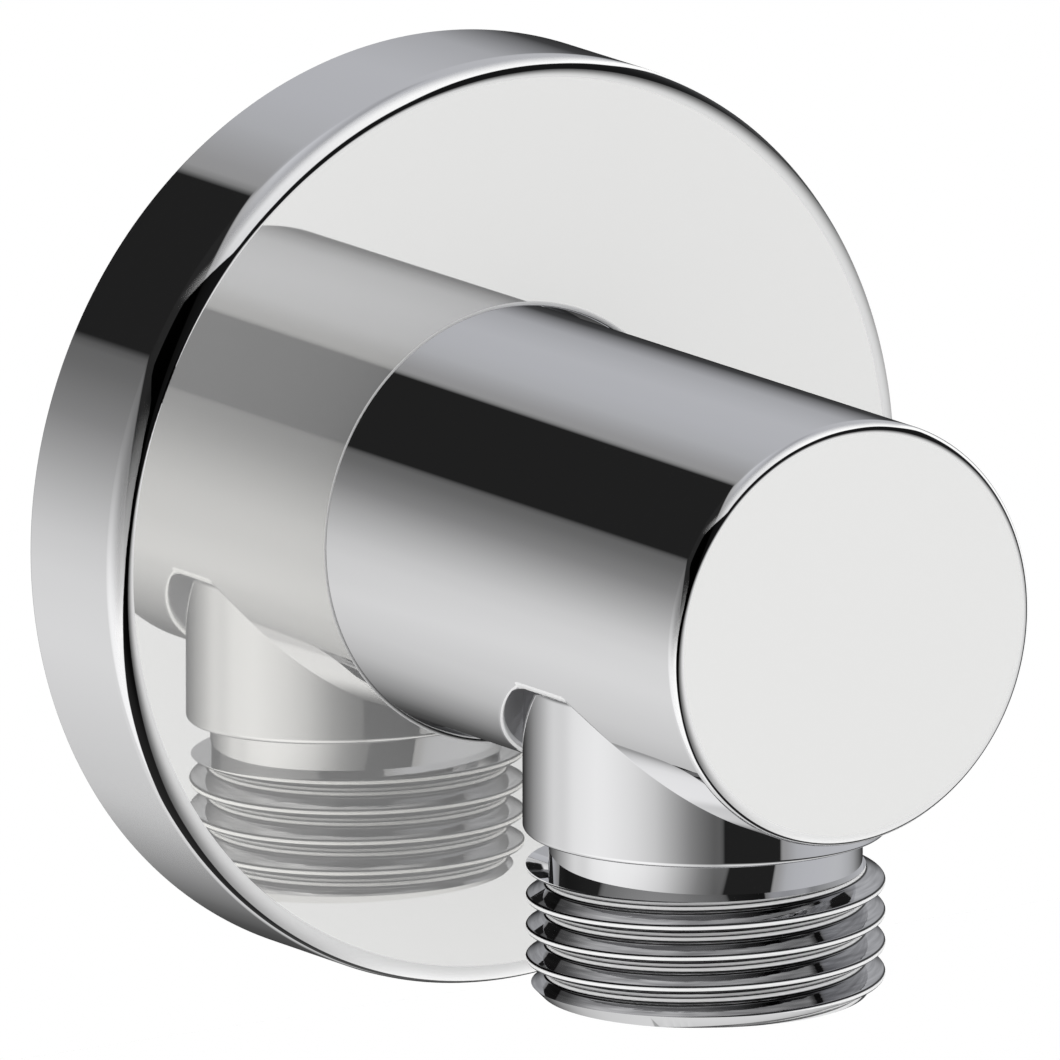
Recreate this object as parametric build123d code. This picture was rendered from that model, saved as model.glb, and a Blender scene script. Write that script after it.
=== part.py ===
from build123d import *
import math
import os

# Wall outlet elbow, all lengths in millimetres.
# The wall's face is the plane y = 0, +Y goes into the wall, -Y out of it, and +Z is up.
# The origin is where the body's axis meets the wall.
# A height is measured out of the wall for the pieces on the body's axis,
# and down from that axis for the pieces on the outlet's axis.

# Wall plate
plate_diameter = 55.0
plate_depth = 9.1
plate_face = 1.8
plate_wall = 1.8
plate_edge_round = 1.2
plate_body_clearance = 0.25
plate_lip_chamfer = 0.3
hub_wall = 2.9
hub_back = 3.0
rib_count = 4
rib_thickness = 1.2
rib_first_angle = 45.0

# Gasket behind the plate's rim
gasket_thickness = 2.4
gasket_width = 4.0
gasket_clearance = 0.1

# Body
body_diameter = 25.0
body_front = 44.5
body_edge_round = 0.7
body_back_gap = 0.3
body_wall = 3.0
socket_end = 17.0
socket_lead_in = 0.8
waterway_diameter = 8.0
waterway_lift = 1.0

# Outlet's place and the pocket round its collar
outlet_axis = 29.3
pocket_ceiling = 5.1
pocket_gap = 1.05

# Outlet's port in the body
port_diameter = 16.0
port_chamber_diameter = 14.5
port_chamber_top = 5.6
port_thread_end = 0.6
port_clearance = 0.05

# Pipe thread G 1/2 of both connectors, plain cylinders at the size of its crests
thread_crest_diameter = 20.85
thread_end_chamfer = 0.9
relief_diameter = 18.2

# Outlet connector
collar_diameter = 21.2
collar_bottom = 14.3
collar_edge_chamfer = 0.3
outlet_shoulder = 16.4
outlet_end = 24.0
spigot_top = 1.0
spigot_chamfer = 0.5
outlet_bore_diameter = 9.5
outlet_hex_flats = 10.0
outlet_hex_top = 5.0
cartridge_bore_diameter = 13.8
cartridge_seat = 10.0
outlet_mouth_chamfer = 0.4

# Wall connector
flange_step = 0.5
flange_thickness = 2.3
sleeve_clearance = 0.2
sleeve_end_gap = 0.3
sleeve_chamfer = 0.4
wall_shoulder = 2.2
wall_thread_end = 13.5
wall_bore_diameter = 9.5
wall_hex_flats = 10.0
wall_hex_depth = 10.5

# Rubber rings, where each groove stands and its ring's thickness
ring_clearance = 0.03
ring_side_gap = 0.2
ring_sides = 6
sleeve_ring_thickness = 1.7
sleeve_ring_front = 14.95
sleeve_ring_rear = 5.2
hub_ring_thickness = 1.4
hub_ring_height = 5.1
nipple_ring_thickness = 1.2
nipple_ring_diameter = 18.3
cartridge_ring_thickness = 0.9
cartridge_ring_height = 11.6

# Locking screw
screw_diameter = 4.0
screw_height = 11.6
screw_clearance = 0.05
screw_recess = 0.3
screw_hex_flats = 2.0
screw_hex_depth = 1.6
screw_groove_depth = 1.2
screw_tip_gap = 0.05

# Non-return cartridge
cartridge_clearance = 0.15
cartridge_length = 11.6
valve_opening_diameter = 7.2
valve_seat_height = 2.0
valve_bore_diameter = 11.0
guide_clearance = 0.05
guide_length = 2.0
guide_rim = 0.9
guide_hub_diameter = 3.8
guide_spokes = 3
guide_spoke_width = 1.0
guide_spoke_thickness = 1.2

# Poppet, its seal and spring
valve_travel = 2.4
travel_margin = 0.1
stem_diameter = 2.2
stem_clearance = 0.15
stem_end_margin = 0.4
seal_gap = 0.12
seal_drop = 0.25
seal_thickness = 0.75
seal_inner_diameter = 5.6
head_thickness = 0.8
cap_clearance = 0.3
cap_height = 0.6
boss_diameter = 3.8
boss_height = 0.7
spring_wire = 0.5
wire_sides = 4
spring_turns = 4.0
spring_inner_clearance = 0.3
spring_end_clearance = 0.03

# Radii and heights that follow
plate_radius = plate_diameter / 2
plate_hole_radius = body_diameter / 2 + plate_body_clearance
hub_radius = plate_hole_radius + hub_wall
cavity_radius = plate_radius - plate_wall
cavity_depth = plate_depth - plate_face
body_radius = body_diameter / 2
socket_radius = body_radius - body_wall
flange_radius = body_radius - flange_step
body_back = flange_thickness + body_back_gap
crest_radius = thread_crest_diameter / 2
collar_radius = collar_diameter / 2
pocket_radius = collar_radius + pocket_gap
sleeve_radius = socket_radius - sleeve_clearance
sleeve_end = socket_end - sleeve_end_gap
housing_radius = cartridge_bore_diameter / 2 - cartridge_clearance
housing_end = cartridge_seat + cartridge_length
seat_start = cartridge_seat + valve_seat_height
seat_end = seat_start + (valve_bore_diameter - valve_opening_diameter) / 2
seal_top = seat_start + seal_drop
seal_bottom = seal_top + seal_thickness
head_bottom = seal_bottom + head_thickness
boss_bottom = head_bottom + boss_height
guide_top = housing_end - guide_length
guide_hub_top = boss_bottom + valve_travel + travel_margin
stem_end = housing_end - stem_end_margin

# Axes of the two rows of turned pieces
out_of_wall = Plane(origin=(0, 0, 0), x_dir=(1, 0, 0), z_dir=(0, -1, 0))
down_outlet = Plane(origin=(0, -outlet_axis, 0), x_dir=(1, 0, 0), z_dir=(0, 0, -1))


def turned(points):
    """A solid of revolution round Z from (radius, height) points."""
    outline = Polyline([(radius, 0, height) for radius, height in points], close=True)
    return revolve(make_face(outline), axis=Axis.Z, revolution_arc=360)


def rod(radius, low, high):
    """A cylinder on Z between two heights."""
    return Pos(0, 0, low) * Cylinder(radius, high - low, align=(Align.CENTER, Align.CENTER, Align.MIN))


def hex_rod(flats, low, high):
    """A hexagonal prism on Z between two heights, by its width across flats."""
    outline = RegularPolygon(radius=flats / 2, side_count=6, major_radius=False)
    return extrude(Pos(0, 0, low) * outline, amount=high - low)


def circle_edges(solid, radius, height):
    """The circular edges of a solid at one radius and one height on Z."""
    near = 1e-3
    found = [
        edge
        for edge in solid.edges().filter_by(GeomType.CIRCLE)
        if abs(edge.radius - radius) < near and abs(edge.center(CenterOf.GEOMETRY).Z - height) < near
    ]
    return ShapeList(found)


def ring(middle_radius, thickness, height, first_corner=0.5):
    """A rubber ring on Z, its round section pressed into flats by the parts that it seals.

    The first corner stands half a side off the radial line for a ring that is pressed inwards,
    and on that line for one that is pressed along Z.
    """
    turns = [math.tau / ring_sides * (k + first_corner) for k in range(ring_sides)]
    reach = thickness / 2 / math.cos(math.pi / ring_sides)
    return turned([(middle_radius + reach * math.cos(a), height + reach * math.sin(a)) for a in turns])


def coiled(corners, pitch, start, end):
    """A right-handed coil on Z of a section given by its (radius, height) corners, with ruled sides."""
    lines = [
        Helix(pitch=pitch, height=end - start, radius=radius, center=(0, 0, start + shift))
        for radius, shift in corners
    ]
    sides = [Face.make_surface_from_curves(lines[k - 1], lines[k]) for k in range(len(lines))]
    caps = [Face(Wire.make_polygon([line @ place for line in lines], close=True)) for place in (0, 1)]
    return Solid(Shell(sides + caps))


def thread_rod(shoulder, end):
    """The threaded length on Z, from its flat shoulder to its chamfered end, which may be lower."""
    blank = rod(crest_radius, min(shoulder, end), max(shoulder, end))
    return chamfer(circle_edges(blank, crest_radius, end), thread_end_chamfer)


def make_escutcheon():
    shell = rod(plate_radius, 0, plate_depth)
    shell = fillet(circle_edges(shell, plate_radius, plate_depth), plate_edge_round)
    cavity = rod(cavity_radius, 0, cavity_depth)
    hub = rod(hub_radius, hub_back, plate_depth - plate_face / 2)
    shell = shell - cavity + hub
    reach = cavity_radius + plate_wall / 2
    rib = Pos(0, 0, gasket_thickness) * Box(
        reach - hub_radius + hub_wall / 2,
        rib_thickness,
        plate_depth - plate_face / 2 - gasket_thickness,
        align=(Align.MAX, Align.CENTER, Align.MIN),
    )
    for k in range(rib_count):
        shell += Rot(0, 0, rib_first_angle + k * 360 / rib_count) * Pos(reach, 0, 0) * rib
    shell -= rod(plate_hole_radius, 0, plate_depth)
    shell = chamfer(circle_edges(shell, plate_hole_radius, plate_depth), plate_lip_chamfer)
    half = hub_ring_thickness / 2 + ring_side_gap
    groove_radius = body_radius + hub_ring_thickness + 2 * ring_clearance
    shell -= rod(groove_radius, hub_ring_height - half, hub_ring_height + half)
    return out_of_wall.location * shell


def make_body():
    body = rod(body_radius, body_back, body_front)
    body = fillet(circle_edges(body, body_radius, body_front), body_edge_round)
    socket = rod(socket_radius, body_back, socket_end)
    body -= socket
    body = chamfer(circle_edges(body, socket_radius, body_back), socket_lead_in)
    body = out_of_wall.location * body
    pocket = down_outlet.location * rod(pocket_radius, pocket_ceiling, body_radius + pocket_gap)
    body -= pocket
    body -= out_of_wall.location * Pos(0, waterway_lift, 0) * rod(waterway_diameter / 2, socket_end, outlet_axis)
    body -= down_outlet.location * rod(port_diameter / 2, port_thread_end, pocket_ceiling)
    body -= down_outlet.location * rod(port_chamber_diameter / 2, -port_chamber_top, port_thread_end)
    return body - screw_place() * rod(screw_diameter / 2, sleeve_radius - screw_groove_depth, body_radius)


def screw_place():
    """Straight down through the body's underside, at the locking screw."""
    return Plane(origin=(0, -screw_height, 0), x_dir=(1, 0, 0), z_dir=(0, 0, -1)).location


def make_outlet_nipple():
    thread = thread_rod(outlet_shoulder, outlet_end)
    collar = rod(collar_radius, pocket_ceiling, collar_bottom)
    collar = chamfer(circle_edges(collar, collar_radius, collar_bottom), collar_edge_chamfer)
    spigot_radius = port_diameter / 2 - port_clearance
    spigot = rod(spigot_radius, spigot_top, pocket_ceiling)
    spigot = chamfer(circle_edges(spigot, spigot_radius, spigot_top), spigot_chamfer)
    nipple = thread + rod(relief_diameter / 2, collar_bottom, outlet_shoulder) + collar + spigot
    half = nipple_ring_thickness / 2 + ring_side_gap
    face_groove_depth = nipple_ring_thickness + 2 * ring_clearance
    nipple -= rod(nipple_ring_diameter / 2 + half, pocket_ceiling, pocket_ceiling + face_groove_depth) - rod(
        nipple_ring_diameter / 2 - half, pocket_ceiling, pocket_ceiling + face_groove_depth
    )
    nipple -= rod(outlet_bore_diameter / 2, spigot_top, outlet_hex_top)
    nipple -= hex_rod(outlet_hex_flats, outlet_hex_top, cartridge_seat)
    nipple -= rod(cartridge_bore_diameter / 2, cartridge_seat, outlet_end)
    nipple = chamfer(circle_edges(nipple, cartridge_bore_diameter / 2, outlet_end), outlet_mouth_chamfer)
    return down_outlet.location * nipple


def make_wall_nipple():
    thread = thread_rod(-wall_shoulder, -wall_thread_end)
    groove_radius = socket_radius - sleeve_ring_thickness - 2 * ring_clearance
    half = sleeve_ring_thickness / 2 + ring_side_gap
    outline = [
        (0, -wall_shoulder),
        (relief_diameter / 2, -wall_shoulder),
        (relief_diameter / 2, 0),
        (flange_radius, 0),
        (flange_radius, flange_thickness),
        (sleeve_radius, flange_thickness),
        (sleeve_radius, sleeve_ring_rear - half),
        (groove_radius, sleeve_ring_rear - half),
        (groove_radius, sleeve_ring_rear + half),
        (sleeve_radius, sleeve_ring_rear + half),
        (sleeve_radius, screw_height - screw_groove_depth),
        (sleeve_radius - screw_groove_depth, screw_height),
        (sleeve_radius, screw_height + screw_groove_depth),
        (sleeve_radius, sleeve_ring_front - half),
        (groove_radius, sleeve_ring_front - half),
        (groove_radius, sleeve_ring_front + half),
        (sleeve_radius, sleeve_ring_front + half),
        (sleeve_radius, sleeve_end - sleeve_chamfer),
        (sleeve_radius - sleeve_chamfer, sleeve_end),
        (0, sleeve_end),
    ]
    nipple = thread + turned(outline)
    nipple -= rod(wall_bore_diameter / 2, -wall_thread_end, sleeve_end - wall_hex_depth)
    nipple -= hex_rod(wall_hex_flats, sleeve_end - wall_hex_depth, sleeve_end)
    return out_of_wall.location * nipple


def make_sleeve_ring(height):
    middle = socket_radius - ring_clearance - sleeve_ring_thickness / 2
    return out_of_wall.location * ring(middle, sleeve_ring_thickness, height)


def make_hub_ring():
    middle = body_radius + ring_clearance + hub_ring_thickness / 2
    return out_of_wall.location * ring(middle, hub_ring_thickness, hub_ring_height)


def make_nipple_ring():
    height = pocket_ceiling + ring_clearance + nipple_ring_thickness / 2
    return down_outlet.location * ring(nipple_ring_diameter / 2, nipple_ring_thickness, height, first_corner=0)


def make_cartridge_ring():
    middle = cartridge_bore_diameter / 2 - ring_clearance - cartridge_ring_thickness / 2
    return down_outlet.location * ring(middle, cartridge_ring_thickness, cartridge_ring_height)


def make_gasket():
    outer = cavity_radius - gasket_clearance
    gasket = rod(outer, 0, gasket_thickness) - rod(outer - gasket_width, 0, gasket_thickness)
    return out_of_wall.location * gasket


def make_grub_screw():
    radius = screw_diameter / 2 - screw_clearance
    tip = sleeve_radius - screw_groove_depth + screw_tip_gap
    head = body_radius - screw_recess
    screw = turned([(0, tip), (radius, tip + radius), (radius, head), (0, head)])
    return screw_place() * (screw - hex_rod(screw_hex_flats, head - screw_hex_depth, head))


def make_valve_housing():
    opening, bore = valve_opening_diameter / 2, valve_bore_diameter / 2
    groove = cartridge_bore_diameter / 2 - cartridge_ring_thickness - 2 * ring_clearance
    half = cartridge_ring_thickness / 2 + ring_side_gap
    outline = [
        (opening, cartridge_seat),
        (housing_radius, cartridge_seat),
        (housing_radius, cartridge_ring_height - half),
        (groove, cartridge_ring_height - half),
        (groove, cartridge_ring_height + half),
        (housing_radius, cartridge_ring_height + half),
        (housing_radius, housing_end),
        (bore, housing_end),
        (bore, seat_end),
        (opening, seat_start),
    ]
    return down_outlet.location * turned(outline)


def make_valve_guide():
    outer = valve_bore_diameter / 2 - guide_clearance
    rim = rod(outer, guide_top, housing_end) - rod(outer - guide_rim, guide_top, housing_end)
    guide = rim + rod(guide_hub_diameter / 2, guide_hub_top, housing_end)
    spoke = Pos(0, 0, guide_top) * Box(
        outer - guide_rim / 2,
        guide_spoke_width,
        guide_spoke_thickness,
        align=(Align.MIN, Align.CENTER, Align.MIN),
    )
    for k in range(guide_spokes):
        guide += Rot(0, 0, k * 360 / guide_spokes) * spoke
    guide -= rod(stem_diameter / 2 + stem_clearance, guide_hub_top, housing_end)
    return down_outlet.location * guide


def seat_radius(height):
    """The seal's outer radius, a small gap inside the 45 degree valve seat."""
    return valve_opening_diameter / 2 + height - seat_start - seal_gap * math.sqrt(2)


def make_poppet():
    cap = valve_opening_diameter / 2 - cap_clearance
    head = seat_radius(seal_bottom)
    outline = [
        (0, seal_top - cap_height),
        (cap - cap_height, seal_top - cap_height),
        (cap, seal_top),
        (seal_inner_diameter / 2, seal_top),
        (seal_inner_diameter / 2, seal_bottom),
        (head, seal_bottom),
        (head, head_bottom),
        (boss_diameter / 2, head_bottom),
        (boss_diameter / 2, boss_bottom),
        (stem_diameter / 2, boss_bottom),
        (stem_diameter / 2, stem_end),
        (0, stem_end),
    ]
    return down_outlet.location * turned(outline)


def make_poppet_seal():
    outline = [
        (seal_inner_diameter / 2, seal_top),
        (seat_radius(seal_top), seal_top),
        (seat_radius(seal_bottom), seal_bottom),
        (seal_inner_diameter / 2, seal_bottom),
    ]
    return down_outlet.location * turned(outline)


def make_spring():
    top = head_bottom + spring_end_clearance + spring_wire / 2
    bottom = guide_top - spring_end_clearance - spring_wire / 2
    middle = max(boss_diameter, guide_hub_diameter) / 2 + spring_inner_clearance + spring_wire / 2
    turns = [math.radians(360 / wire_sides * k) for k in range(wire_sides)]
    wire = [(middle + spring_wire / 2 * math.cos(a), spring_wire / 2 * math.sin(a)) for a in turns]
    return down_outlet.location * coiled(wire, (bottom - top) / spring_turns, top, bottom)


pieces = {
    "escutcheon": make_escutcheon(),
    "outlet_body": make_body(),
    "outlet_nipple": make_outlet_nipple(),
    "wall_nipple": make_wall_nipple(),
    "sleeve_oring_front": make_sleeve_ring(sleeve_ring_front),
    "sleeve_oring_rear": make_sleeve_ring(sleeve_ring_rear),
    "escutcheon_oring": make_hub_ring(),
    "nipple_oring": make_nipple_ring(),
    "wall_gasket": make_gasket(),
    "grub_screw": make_grub_screw(),
    "valve_housing": make_valve_housing(),
    "cartridge_oring": make_cartridge_ring(),
    "valve_guide": make_valve_guide(),
    "valve_poppet": make_poppet(),
    "poppet_seal": make_poppet_seal(),
    "valve_spring": make_spring(),
}

os.makedirs("parts", exist_ok=True)
for name, solid in pieces.items():
    export_step(solid, f"parts/{name}.step")
    print(name, round(solid.volume, 1), len(solid.solids()))
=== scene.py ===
import math
from types import SimpleNamespace
import bpy
from mathutils import Matrix, Vector


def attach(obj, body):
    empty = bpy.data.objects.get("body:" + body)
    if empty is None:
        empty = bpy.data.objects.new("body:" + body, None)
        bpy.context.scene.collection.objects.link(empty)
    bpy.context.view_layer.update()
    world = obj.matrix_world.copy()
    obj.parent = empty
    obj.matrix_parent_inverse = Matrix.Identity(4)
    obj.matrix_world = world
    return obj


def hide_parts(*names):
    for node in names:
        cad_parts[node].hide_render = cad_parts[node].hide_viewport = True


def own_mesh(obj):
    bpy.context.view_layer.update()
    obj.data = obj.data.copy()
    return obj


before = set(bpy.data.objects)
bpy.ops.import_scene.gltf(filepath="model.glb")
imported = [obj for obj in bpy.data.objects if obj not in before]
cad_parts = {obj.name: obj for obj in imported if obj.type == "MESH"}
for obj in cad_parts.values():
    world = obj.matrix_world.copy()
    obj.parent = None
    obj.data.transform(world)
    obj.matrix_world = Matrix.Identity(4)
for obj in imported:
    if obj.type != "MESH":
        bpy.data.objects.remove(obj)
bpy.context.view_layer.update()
mm = 0.001
hair = 0.01  # in mm, what counts as touching
cutOver = 1  # in mm, how far a cutter stands out past what it cuts
print("frame loaded:", len(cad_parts), "nodes")

# Pieces are turned on the Z axis in millimetres and then laid on the fitting's two axes
outletAxis, screwAxis = 29.3, 11.6
turnedOver = Matrix.Rotation(math.pi, 4, "X")
outOfWall = Matrix.Rotation(math.radians(90), 4, "X")  # Z of the lathe becomes -Y
downOutlet = Matrix.Translation((0, -outletAxis * mm, 0)) @ turnedOver  # and here -Z
atScrew = Matrix.Translation((0, -screwAxis * mm, 0)) @ turnedOver


# Modelling helpers

def nothingSelected():
    if bpy.context.object and bpy.context.object.mode != "OBJECT":
        leaveMesh()
    bpy.ops.object.select_all(action="DESELECT")


def makeActive(piece):
    nothingSelected()
    piece.select_set(True)
    bpy.context.view_layer.objects.active = piece


def editMesh(action="SELECT"):
    bpy.ops.object.mode_set(mode="EDIT")
    bpy.ops.mesh.select_all(action=action)


def leaveMesh():
    bpy.ops.object.mode_set(mode="OBJECT")


def applyPlace():
    bpy.ops.object.transform_apply(location=True, rotation=True, scale=True)


def selectOpenEdges():
    editMesh("DESELECT")
    bpy.ops.mesh.select_mode(type="VERT")
    bpy.ops.mesh.select_non_manifold(extend=False, use_wire=False, use_boundary=True, use_multi_face=False,
            use_non_contiguous=False, use_verts=False)


def closeSeams(reach=0.002):
    editMesh()
    bpy.ops.mesh.remove_doubles(threshold=reach * mm)
    bpy.ops.mesh.normals_make_consistent(inside=False)
    leaveMesh()


def roundedOutline(corners):
    # corners are (radius, height) or (radius, height, round): a round becomes an arc of short runs, and an outline
    # that starts on the axis stays open there
    degreesPerRun = 9
    points = []
    for k, corner in enumerate(corners):
        here = Vector(corner[:2])
        if len(corner) < 3:
            points.append(here)
            continue
        before = (Vector(corners[k - 1][:2]) - here).normalized()
        after = (Vector(corners[(k + 1) % len(corners)][:2]) - here).normalized()
        half = before.angle(after) / 2
        centre = here + (before + after).normalized() * (corner[2] / math.sin(half))
        first = here + before * (corner[2] / math.tan(half)) - centre
        turn = math.pi - 2 * half
        side = 1 if before.x * after.y - before.y * after.x < 0 else -1
        runs = max(3, round(math.degrees(turn) / degreesPerRun))
        for n in range(runs + 1):
            a = side * turn * n / runs
            points.append(centre + Vector((first.x * math.cos(a) - first.y * math.sin(a),
                    first.x * math.sin(a) + first.y * math.cos(a))))
    if corners[0][0]:
        points.append(points[0])
    return points


def drawOutline(name, points):
    # a plane merged to one point, drawn out point by point with extrude, and left in edit mode
    nothingSelected()
    bpy.ops.mesh.primitive_plane_add(size=mm, location=(0, 0, 0))
    piece = bpy.context.object
    piece.name = name
    editMesh()
    bpy.ops.mesh.select_mode(type="VERT")
    bpy.ops.mesh.select_all(action="SELECT")
    bpy.ops.mesh.merge(type="CENTER")
    here = points[0]
    bpy.ops.transform.translate(value=(here[0] * mm, 0, here[1] * mm))
    for point in points[1:]:
        step = ((point[0] - here[0]) * mm, 0, (point[1] - here[1]) * mm)
        bpy.ops.mesh.extrude_region_move(TRANSFORM_OT_translate={"value": step})
        here = point
    return piece


def turnedPiece(name, corners, steps=192):
    piece = drawOutline(name, roundedOutline(corners))
    bpy.ops.mesh.select_all(action="SELECT")
    bpy.ops.mesh.spin(steps=steps, angle=math.tau, center=(0, 0, 0), axis=(0, 0, 1))
    closeSeams()
    return piece


def rodPiece(name, radius, low, high, sides=96):
    # a plain cutter or core on the lathe's axis
    nothingSelected()
    bpy.ops.mesh.primitive_cylinder_add(vertices=sides, radius=radius * mm, depth=(high - low) * mm,
            location=(0, 0, (low + high) / 2 * mm))
    piece = bpy.context.object
    piece.name = name
    applyPlace()
    return piece


def hexPiece(name, flats, low, high):
    return rodPiece(name, flats / math.sqrt(3), low, high, sides=6)


def barPiece(start, length, low, wide, thick, edgeRound):
    # a bar that runs out along X, with rounded edges
    nothingSelected()
    bpy.ops.mesh.primitive_cube_add(size=1, location=(0, 0, 0))
    piece = bpy.context.object
    piece.scale = (length * mm, wide * mm, thick * mm)
    piece.location = ((start + length / 2) * mm, 0, (low + thick / 2) * mm)
    applyPlace()
    editMesh()
    bpy.ops.mesh.bevel(offset=edgeRound * mm, segments=2, affect="EDGES")
    leaveMesh()
    return piece


def windUp(piece, angle, rise, steps, repeats=1):
    wind = piece.modifiers.new("wind", "SCREW")
    wind.axis, wind.angle, wind.screw_offset, wind.iterations = "Z", angle, rise * mm, repeats
    wind.steps = wind.render_steps = steps
    bpy.ops.object.modifier_apply(modifier=wind.name)


def meshFrom(name, points, faces):
    mesh = bpy.data.meshes.new(name)
    mesh.from_pydata(points, [], faces)
    piece = bpy.data.objects.new(name, mesh)
    bpy.context.scene.collection.objects.link(piece)
    return piece


def combine(piece, other, operation="DIFFERENCE"):
    # boolean, applied, and the other shape is thrown away
    makeActive(piece)
    cut = piece.modifiers.new("cut", "BOOLEAN")
    cut.operation, cut.solver, cut.object = operation, "EXACT", other
    bpy.ops.object.modifier_apply(modifier=cut.name)
    bpy.data.objects.remove(other)
    return piece


def layOn(piece, axis):
    makeActive(piece)
    piece.matrix_world = axis @ piece.matrix_world
    applyPlace()
    return piece


def smoothed(piece, angle=28, weighted=True):
    makeActive(piece)
    bpy.ops.object.shade_smooth_by_angle(angle=math.radians(angle))
    if weighted:
        level = piece.modifiers.new("level", "WEIGHTED_NORMAL")  # big flats stay flat beside small rounds
        level.keep_sharp = True
        level.weight = 80
        bpy.ops.object.modifier_apply(modifier=level.name)


def fitted(piece, node, body, material):
    piece.data.materials.clear()
    piece.data.materials.append(material)
    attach(piece, body)
    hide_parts(node)


def finished(piece, axis, node, slot, material, body="fitting", **smoothing):
    layOn(piece, axis)
    smoothed(piece, **smoothing)
    fitted(piece, node, body, material)


# Material helpers

def fromHex(text, alpha=1.0):
    # sRGB hex to the linear values that the shaders take
    levels = [int(text[k:k + 2], 16) / 255 for k in (1, 3, 5)]
    return tuple(v / 12.92 if v <= 0.04045 else ((v + 0.055) / 1.055) ** 2.4 for v in levels) + (alpha,)


def addNode(tree, kind, settings=None, inputs=None, links=None):
    # settings are the node's own values, inputs its sockets' values, links {socket: node or (node, output)}
    node = tree.nodes.new("ShaderNode" + kind)
    for key, value in (settings or {}).items():
        setattr(node, key, value)
    for key, value in (inputs or {}).items():
        node.inputs[key].default_value = value
    for key, source in (links or {}).items():
        other, output = source if isinstance(source, tuple) else (source, 0)
        tree.links.new(other.outputs[output], node.inputs[key])
    return node


plus, minus, times = {"operation": "ADD"}, {"operation": "SUBTRACT"}, {"operation": "MULTIPLY"}
colours, softly = {"data_type": "RGBA"}, {"interpolation_type": "SMOOTHSTEP"}


def setStops(ramp, stops):
    # stops are (place, colour), the first takes the ramp's own
    elements = ramp.color_ramp.elements
    while len(elements) > 1:
        elements.remove(elements[-1])
    elements[0].position, elements[0].color = stops[0]
    for place, colour in stops[1:]:
        elements.new(place).color = colour


def newMaterial(name):
    material = bpy.data.materials.new(name)
    material.use_nodes = True
    material.node_tree.nodes.clear()
    return material, material.node_tree


def withSurface(material, shader):
    addNode(material.node_tree, "OutputMaterial", links={"Surface": shader})
    return material


# Camera

view = {"azimuth": -33.892, "elevation": 12.792, "distance": 2900.0, "lens": 1699.5, "sensor": 36,
        "aim": (0, -20.0, -2.0), "left": 4.974, "up": 3.4975, "clip": (0.1, 20)}
azimuth, elevation = math.radians(view["azimuth"]), math.radians(view["elevation"])
towardsViewer = Vector((math.sin(azimuth) * math.cos(elevation), -math.cos(azimuth) * math.cos(elevation),
        math.sin(elevation)))
viewRight = Vector((math.cos(azimuth), math.sin(azimuth), 0))
viewUp = towardsViewer.cross(viewRight)
cameraData = bpy.data.cameras.new("camera")
cameraData.lens, cameraData.sensor_width = view["lens"], view["sensor"]
cameraData.clip_start, cameraData.clip_end = view["clip"]
camera = bpy.data.objects.new("camera", cameraData)
bpy.context.scene.collection.objects.link(camera)
aimPoint = (Vector(view["aim"]) - viewRight * view["left"] + viewUp * view["up"]) * mm
camera.location = aimPoint + towardsViewer * view["distance"] * mm
camera.rotation_euler = (-towardsViewer).to_track_quat("-Z", "Y").to_euler()
bpy.context.scene.camera = camera
print("camera placed")


# Studio

studio = {
    "faceLean": 2.9,
    "pivot": (1.2, -0.965),
    # grey of the tent that the chrome mirrors, by the pivot's angle in degrees: one black flag with sharp edges
    "tent": [(95, "#858585"), (100, "#969696"), (105, "#A5A6A7"), (110, "#AFB0B3"), (115, "#B4B5B8"),
             (122, "#B2B3B7"), (127, "#B0B1B5"), (130, "#ADAEB2"), (132.5, "#A8A9AC"), (135, "#939394"),
             (136.0, "#8F8F8F"), (136.2, "#1F1F1F"), (146.1, "#1F1F1F"), (146.3, "#606060"), (147.5, "#676767"),
             (150, "#808080"), (152, "#9C9C9C"), (154, "#B4B4B4"), (156, "#C8C8C8"), (158, "#D2D2D2"),
             (162, "#D6D6D6"), (167, "#D2D2D2")],
    "tentFrom": 90.0,
    "tentTo": 180.0,
    # how the tent darkens towards the object's outline, by the cosine to the viewer
    "edge": [(0.0, 0.047), (0.1, 0.099), (0.15, 0.173), (0.2, 0.302), (0.27, 0.516), (0.33, 0.736),
             (0.4, 0.893), (0.5, 1.0)],
    # the same on surfaces that look up
    "topEdge": [(0.0, 0.03), (0.1, 0.09), (0.163, 0.42), (0.22, 0.75), (0.28, 0.88), (0.33, 0.97), (0.4, 1.0)],
    "topFrom": 0.68,
    "topTo": 0.84,
    # by the way across the picture, from -1 to 1: a dark panel far left, and a bright one that only fronts see
    "farLeft": [(-1.0, 0.45), (-0.95, 0.48), (-0.907, 0.62), (-0.85, 0.92), (-0.83, 1.0)],
    "panel": [(-0.82, 1.02), (-0.696, 1.24), (-0.6, 1.36), (-0.39, 1.4), (-0.277, 1.36), (-0.158, 1.14),
              (-0.037, 0.88), (0.05, 0.75), (0.13, 1.0)],
    "frontFrom": 0.59,
    "frontTo": 0.68,
    "chromeGrey": 0.775,
}
# the flats' mirror leans to the viewer, in degrees, which brings the mirrored outlet to its place in the picture
sideways = Vector((towardsViewer.x, 0, towardsViewer.z)).normalized()
lean = math.radians(studio["faceLean"])
faceMirror = Vector((0, -math.cos(lean), 0)) + sideways * math.sin(lean)


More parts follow.
